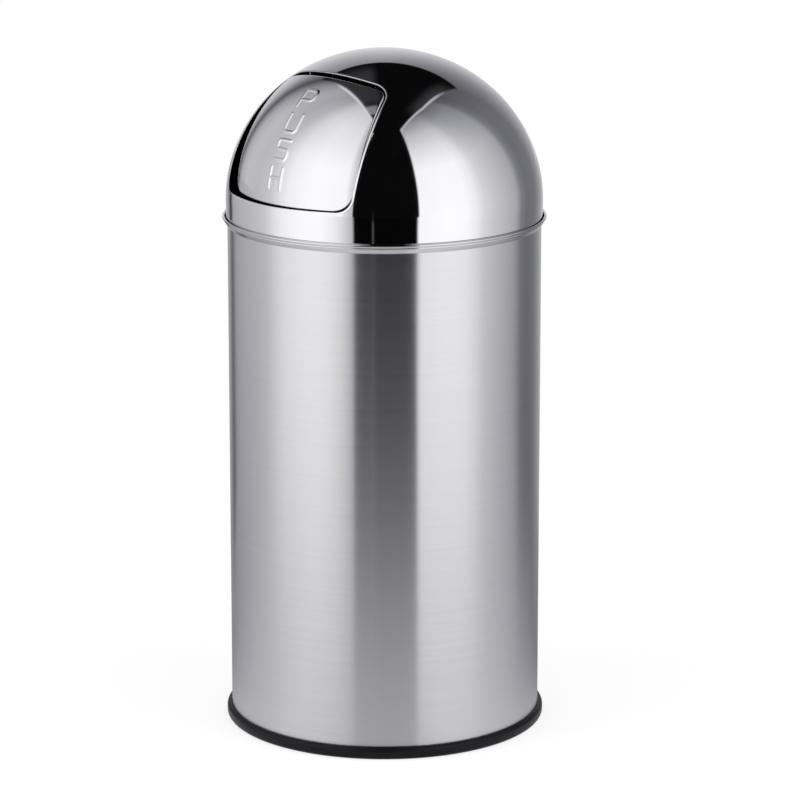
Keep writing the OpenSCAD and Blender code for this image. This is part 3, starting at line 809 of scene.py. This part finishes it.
# %% Rivets with domed heads
RIVET_Z, EAR_SPAN = 447.0, 11.0
RIVET_SECTION = [(-1.2, 0), (-1.2, 1.2), (-1.0, 2.1), (-0.6, 2.8), (-0.2, 3.0), (-0.19, 1.6), (1.4, 1.6),
                 (1.4, 0)]
rivet_r = bucket_r(RIVET_Z) - BUCKET_WALL - EAR_T
heads = []
for side in (0.0, math.pi):
    for turn in (-EAR_SPAN / 4, EAR_SPAN / 4):
        a = side + math.radians(turn)
        out = np.array([math.cos(a), math.sin(a), 0.0])
        across = np.array([-math.sin(a), math.cos(a), 0.0])
        t = np.linspace(0, 2 * np.pi, 20, endpoint=False)[:, None]
        circle = np.cos(t) * across + np.sin(t) * np.array([0, 0, 1.0])
        rings = [out * (rivet_r + d) + np.array([0, 0, RIVET_Z]) + r * circle for d, r in RIVET_SECTION]
        heads.append(ringed("rivet", rings, 50))
bpy.ops.object.select_all(action="DESELECT")
for head in heads:
    head.select_set(True)
bpy.context.view_layer.objects.active = heads[0]
bpy.ops.object.join()
heads[0].name = heads[0].data.name = "rivet_heads"
placed(heads[0], "bucket", "plain_steel", "ear_rivets")

# %% Bail
KNEE_R, BOW_FROM = 3.4, math.radians(2.2)
tip = bucket_r(BAIL_Z) - BUCKET_WALL - EAR_T - BAIL_WIRE * 1.6
bow_turn = np.linspace(BOW_FROM, math.pi - BOW_FROM, 150)
bow = [(BAIL_R * math.cos(t), BAIL_R * math.sin(t), BAIL_Z) for t in bow_turn]
knee_turn = np.linspace(0.2, math.pi / 2, 8)
knee = [(BAIL_R - KNEE_R * (1 - math.cos(t)), KNEE_R * 1.6 * (1 - math.sin(t)), BAIL_Z) for t in knee_turn]
hook = [(x, 0.0, BAIL_Z) for x in np.linspace(tip - 1.5, BAIL_R - KNEE_R - 1.0, 5)]
right = hook + knee[::-1]
path = right + bow + [(-x, y, z) for x, y, z in right[::-1]]
placed(swept("bail_wire", path, BAIL_WIRE - 0.1, 14), "bail", "spring_steel", "bail_handle")

# %% [markdown]
# ## The studio
# The floor is white to the camera and takes the bin's shadow. Polished steel shows whatever stands round
# it, so the studio is built too: two white boxes at the sides with the dark room between them. Only
# reflections see it. Soft lamps and a pale world give plain light to everything that isn't a mirror.


# %% Floor helpers
def disc(name, radius, height=0.0):
    """A flat disc under the bin, in metres."""
    bpy.ops.object.select_all(action="DESELECT")
    bpy.ops.mesh.primitive_circle_add(vertices=128, radius=radius, fill_type="NGON", location=(0, 0, height))
    piece = bpy.context.object
    piece.name = name
    bpy.ops.object.transform_apply(location=True)
    return piece


def seen_rays(tree):
    """1 for rays from the camera, from a mirror or through glass, and 0 for those that only carry light."""
    rays = tree.nodes.new("ShaderNodeLightPath").outputs
    seen = Sum(tree, rays["Is Camera Ray"])
    for kind in ("Is Glossy Ray", "Is Transmission Ray"):
        seen = seen.most(Sum(tree, rays[kind]))
    return seen


def mixed(tree, share, first, second):
    """The first shader where the share is 0, the second where it is 1."""
    made = tree.nodes.new("ShaderNodeMixShader")
    for source, target in zip((share.socket, first.outputs[0], second.outputs[0]), made.inputs):
        tree.links.new(source, target)
    return made


print("floor helpers ready")

# %% Floor
FLOOR_R, POOL_FROM, POOL_TO = 24.0, 0.45, 1.3
floor = disc("floor", FLOOR_R)
floor_white, shader, place = finish("floor_white", Base_Color=(0.8, 0.8, 0.8, 1), Roughness=0.9)
tree = floor_white.node_tree
paper = place.node("TexNoise", Vector=place, Scale=600.0, Detail=2.0)
matt = tree.nodes.new("ShaderNodeBsdfDiffuse")
feed(matt, "Color", paper.mix((0.33, 0.33, 0.33, 1), (0.35, 0.35, 0.35, 1)))
glow = tree.nodes.new("ShaderNodeEmission")
glow.inputs["Strength"].default_value = 0.72
near = tree.nodes.new("ShaderNodeAddShader")
tree.links.new(matt.outputs[0], near.inputs[0])
tree.links.new(glow.outputs[0], near.inputs[1])
far = tree.nodes.new("ShaderNodeEmission")
spread = place.node("VectorMath", {"operation": "LENGTH"}, out=1, i0=place)
white = mixed(tree, spread.ramp(POOL_FROM, POOL_TO), near, far)
choose = mixed(tree, seen_rays(tree), shader, white)
surface = next(n for n in tree.nodes if n.type == "OUTPUT_MATERIAL").inputs["Surface"]
tree.links.new(choose.outputs[0], surface)
floor.data.materials.append(floor_white)
print("floor ready")

# %% World
world = bpy.data.worlds.new("studio_world")
bpy.context.scene.world = world
world.use_nodes = True
tree = world.node_tree
tree.links.new((seen_rays(tree) * 0.35 + 0.65).socket, tree.nodes["Background"].inputs["Strength"])
tree.nodes["Background"].inputs["Color"].default_value = (1, 1, 1, 1)
print("world ready")


# %% Lamps
LAMP_HIGH, LAMP_FAR, LAMP_WIDE, LAMP_TALL, LAMP_WATTS, LAMP_AIM = 1.3, 2.0, 1.6, 1.8, 22, 0.3


def lamp(name, azimuth):
    """A soft box at that many degrees to the camera's right, for all that isn't a mirror."""
    data = bpy.data.lights.new(name, "AREA")
    data.shape, data.size, data.size_y, data.energy = "RECTANGLE", LAMP_WIDE, LAMP_TALL, LAMP_WATTS
    made = bpy.data.objects.new(name, data)
    bpy.context.scene.collection.objects.link(made)
    a = CAMERA_AZ + math.radians(azimuth)
    made.location = (LAMP_FAR * math.sin(a), -LAMP_FAR * math.cos(a), LAMP_HIGH)
    made.rotation_euler = (Vector((0, 0, LAMP_AIM)) - made.location).to_track_quat("-Z", "Y").to_euler()
    made.visible_glossy = False
    made.visible_camera = False


lamp("box_left", -70)
lamp("box_right", 65)
print("lamps ready")

# %% [markdown]
# The tent is a large sphere whose glow is drawn by direction: first by the angle round the bin, then by
# height. The overhead canopy and the dark aisle towards the camera have straight edges in a flat map of the
# sky, in which the zenith is at 0, the horizon at 1 and q points at the camera.


# %% Glow by direction
def curve(value, low, high, stops):
    """A value in low..high, drawn by straight lines between (place, height) stops."""
    ramp = value.tree.nodes.new("ShaderNodeValToRGB")
    value.tree.links.new(((value - low) / (high - low)).socket, ramp.inputs[0])
    made = ramp.color_ramp.elements
    for i, (at, level) in enumerate(stops):
        share = (at - low) / (high - low)
        stop = made[i] if i < 2 else made.new(share)
        stop.position, stop.color = share, (level, level, level, 1)
    return Sum(value.tree, ramp.outputs[0])


# Degrees round the bin from the camera, and the glow there. Tent and curtain differ in two stretches.
ROUND = [(-180, 0.72), (-164, 0.44), (-155, 0.36), (-152, 0.18), (-149, 0.04), (-146, 0.12), (-142, 0.41),
         (-134, 0.46), (-112, 0.55), (-96, 0.64), (-88, 0.80), (-78, 0.98), (-60, 1.10), (-46, 1.10),
         (-36, 0.96), (-30, 0.80), (-23, 0.54), (0, 0.54), (24, 1.06), (45, 1.12), (60, 1.10), (68, 0.98),
         (76, 0.76), (88, 0.62), (102, 0.50), (110, 0.43), (116, 0.24), (124, 0.18), (140, 0.20),
         (152, 0.34), (180, 0.72)]
TENT_ROUND = [(at, level) for at, level in ROUND if not (-170 < at < -115 or -46 < at < -20)]
TENT_ROUND += [(-162, 0.64), (-156, 0.52), (-151, 0.30), (-147, 0.12), (-143, 0.31), (-138, 0.49),
               (-128, 0.58), (-31, 1.06), (-28, 0.80), (-24, 0.62)]
TENT_ROUND.sort()
SLIT_AT = -8
DIM_TINT, BRIGHT_TINT = (0.94, 0.94, 1.06, 1), (1.0, 0.998, 1.006, 1)


def glowing(strength):
    """Finishes a material that only glows, bluer where it is dim."""
    tree = strength.tree
    glow = tree.nodes.new("ShaderNodeEmission")
    feed(glow, "Color", strength.ramp(0.0, 0.9).mix(DIM_TINT, BRIGHT_TINT))
    feed(glow, "Strength", strength)
    out = tree.nodes.new("ShaderNodeOutputMaterial")
    tree.links.new(glow.outputs[0], out.inputs["Surface"])


def glow_material(name):
    """An empty material, a first Sum in it and its Object coordinates."""
    made = bpy.data.materials.new(name)
    made.use_nodes = True
    made.node_tree.nodes.clear()
    made.cycles.emission_sampling = "NONE"
    start = Sum(made.node_tree, None)
    return made, start, start.node("TexCoord", out=3)


def toward_camera(start, toward):
    """The parts of a direction to the camera's right and towards the camera."""
    right = (math.cos(CAMERA_AZ), math.sin(CAMERA_AZ), 0)
    ahead = (math.sin(CAMERA_AZ), -math.cos(CAMERA_AZ), 0)
    return tuple(start.node("VectorMath", {"operation": "DOT_PRODUCT"}, out=1, i0=toward, i1=part)
                 for part in (right, ahead))


print(len(ROUND), "stops round the bin")

# %% Light tent
bpy.ops.object.select_all(action="DESELECT")
bpy.ops.mesh.primitive_uv_sphere_add(segments=96, ring_count=48, radius=7.0, location=(0, 0, 0))
tent = bpy.context.object
tent.name = "light_tent"
bpy.ops.object.shade_smooth()
tent_glow, start, place = glow_material("tent_glow")
toward = start.node("VectorMath", {"operation": "NORMALIZE"}, i0=place)
right, ahead = toward_camera(start, toward)
up = start.node("SeparateXYZ", out=2, Vector=toward)
p, q = right / (up + 1), ahead / (up + 1)
around = start.math("ARCTAN2", right, ahead) * (180 / math.pi)
rise = start.math("ARCSINE", up) * (180 / math.pi)
on_right = p.ramp(-0.02, 0.02)
fade_left = curve(rise, -90, 90, [(-90, 0.9), (0, 1.0), (30, 1.0), (40, 0.92), (50, 0.83), (60, 0.77),
                                  (68, 0.68), (76, 0.58), (90, 0.5)])
fade_right = curve(rise, -90, 90, [(-90, 0.9), (0, 1.0), (36, 0.96), (50, 0.74), (60, 0.55), (68, 0.33),
                                   (76, 0.1), (90, 0.05)])
fade_back = curve(rise, -90, 90, [(-90, 1.0), (8, 1.0), (20, 0.87), (32, 0.64), (44, 0.42), (56, 0.34),
                                  (90, 0.3)])
at_back = abs(around).ramp(118, 160)
level = curve(around, -180, 180, TENT_ROUND)
box = level * (fade_left * (1 - on_right) + fade_right * on_right)
sky = box * (1 - at_back) + level * fade_back * at_back
print(len(TENT_ROUND), "stops round the tent")

# %% [markdown]
# On each side the dark has a corner where the aisle meets the overhead canopy. The aisle widens from there
# towards the camera and the canopy widens away from it. A thin bright rail runs along both edges high up,
# near the zenith, and a faint slit of light stands in the aisle, 8 degrees to the camera's left.

# %% Aisle, canopy and rails
AISLE_SLOPE, EDGE_SOFT = 0.455, 0.007
RIGHT_P, RIGHT_Q, LEFT_P, LEFT_Q, FAR_P, FAR_Q = 0.083, 0.183, 0.06, 0.21, 0.167, -0.017
SLAB_RIGHT, SLAB_LEFT, SLAB_FAR = 0.42, 0.297, 0.273
aisle_right = (q - RIGHT_Q) * AISLE_SLOPE + RIGHT_P
aisle_left = (q - LEFT_Q) * AISLE_SLOPE + LEFT_P
slab_right = ((RIGHT_Q - q) * SLAB_RIGHT + RIGHT_P).least((FAR_Q - q) * SLAB_FAR + FAR_P)
slab_left = (LEFT_Q - q) * SLAB_LEFT + (LEFT_P + 0.0025)
dark_right = aisle_right.most(slab_right)
dark_left = aisle_left.most(slab_left)
lit = (p - dark_right).ramp(-EDGE_SOFT, EDGE_SOFT).most((-1 * p - dark_left).ramp(-EDGE_SOFT, EDGE_SOFT))
lit = lit.most(rise.ramp(45.6, 44.0) * (-1 * q).ramp(-0.02, 0.02))
room = 0.003 + abs(around - SLIT_AT).ramp(0.9, 0.3) * rise.ramp(9, 3) * 0.01
canopy = (dark_right - p).ramp(0.07, 0.0) * 0.04 + (-1 * p).ramp(0.015, 0.055) * 0.032
patch = (-1 * p).ramp(0.045, 0.06) * q.ramp(0.035, 0.06) * q.ramp(0.115, 0.10) * 0.24
canopy = canopy * rise.ramp(44, 60) * q.ramp(0.08, -0.02) + patch
rail_right = 1 - abs(p - dark_right - 0.004).ramp(0.003, 0.010)
rail_left = 1 - abs(p + dark_left + 0.004).ramp(0.003, 0.010)
rail = (rail_right * 0.5 + rail_left * 0.74) * rise.ramp(50, 66) * rise.ramp(89, 82)
glowing((sky * lit + (room + canopy) * (1 - lit)).most(rail))
tent.data.materials.append(tent_glow)
print("tent ready")

# %% [markdown]
# The bin stands on a table. A low curtain at the table's edge carries the same boxes and the same dark
# aisle below the horizon. The table is a glowing disc, dimmer than the boxes, brightest towards the two
# side boxes and dimmest behind the bin: painted light and shade of a lit table that only reflections see.
# So the tube's foot shows the table and its top doesn't.

# %% Curtain
TABLE_R, TABLE_Z, CURTAIN_TOP, CURTAIN_POINTS = 760.0, 0.2, 492.0, 180
AISLE_FROM, AISLE_TO = -22.0, 23.5
turn = np.linspace(0, 2 * np.pi, CURTAIN_POINTS, endpoint=False)
hem = np.stack([TABLE_R * np.cos(turn), TABLE_R * np.sin(turn), np.zeros(CURTAIN_POINTS)], axis=1)
curtain = ringed("curtain", [hem, hem + [0, 0, CURTAIN_TOP]])
curtain_glow, start, place = glow_material("curtain_glow")
right, ahead = toward_camera(start, place)
here = start.math("ARCTAN2", right, ahead)
around = (here + start.math("SINE", here * 0.5) * (BODY_R / TABLE_R)) * (180 / math.pi)
lit = (around - AISLE_TO).ramp(-1.2, 1.2).most((AISLE_FROM - around).ramp(-1.2, 1.2))
height = start.node("SeparateXYZ", out=2, Vector=place)
dim = height.ramp(0.0, 0.45, 0.86, 1.0)
shade = (around + 7).ramp(-1.5, 1.5, 0.036, 0.004) * height.ramp(0.356, 0.344) + 0.002
shade = shade + abs(around - SLIT_AT).ramp(1.0, 0.3) * height.ramp(0.50, 0.42) * 0.07
glowing(curve(around, -180, 180, ROUND) * dim * lit + shade * (1 - lit))
curtain.data.materials.append(curtain_glow)
print("curtain", len(curtain.data.polygons), "faces")

# %% Table
table = disc("table_glow_disc", TABLE_R * MM, TABLE_Z * MM)
table_glow, start, place = glow_material("table_glow")
right, ahead = toward_camera(start, place)
around = start.math("ARCTAN2", right, ahead) * (180 / math.pi)
# Painted light and shade on the table's glow: brighter towards the side boxes, darker behind the bin.
glowing(curve(around, -180, 180, [(-180, 0.36), (-130, 0.32), (-90, 0.54), (-50, 0.68), (-28, 0.62),
                                  (-16, 0.56), (16, 0.56), (28, 0.68), (50, 0.68), (90, 0.50), (130, 0.24),
                                  (180, 0.34)]))
table.data.materials.append(table_glow)
for screen in (tent, curtain, table):
    for kind in ("camera", "diffuse", "transmission", "volume_scatter", "shadow"):
        setattr(screen, "visible_" + kind, False)
print("table", len(table.data.polygons), "face")
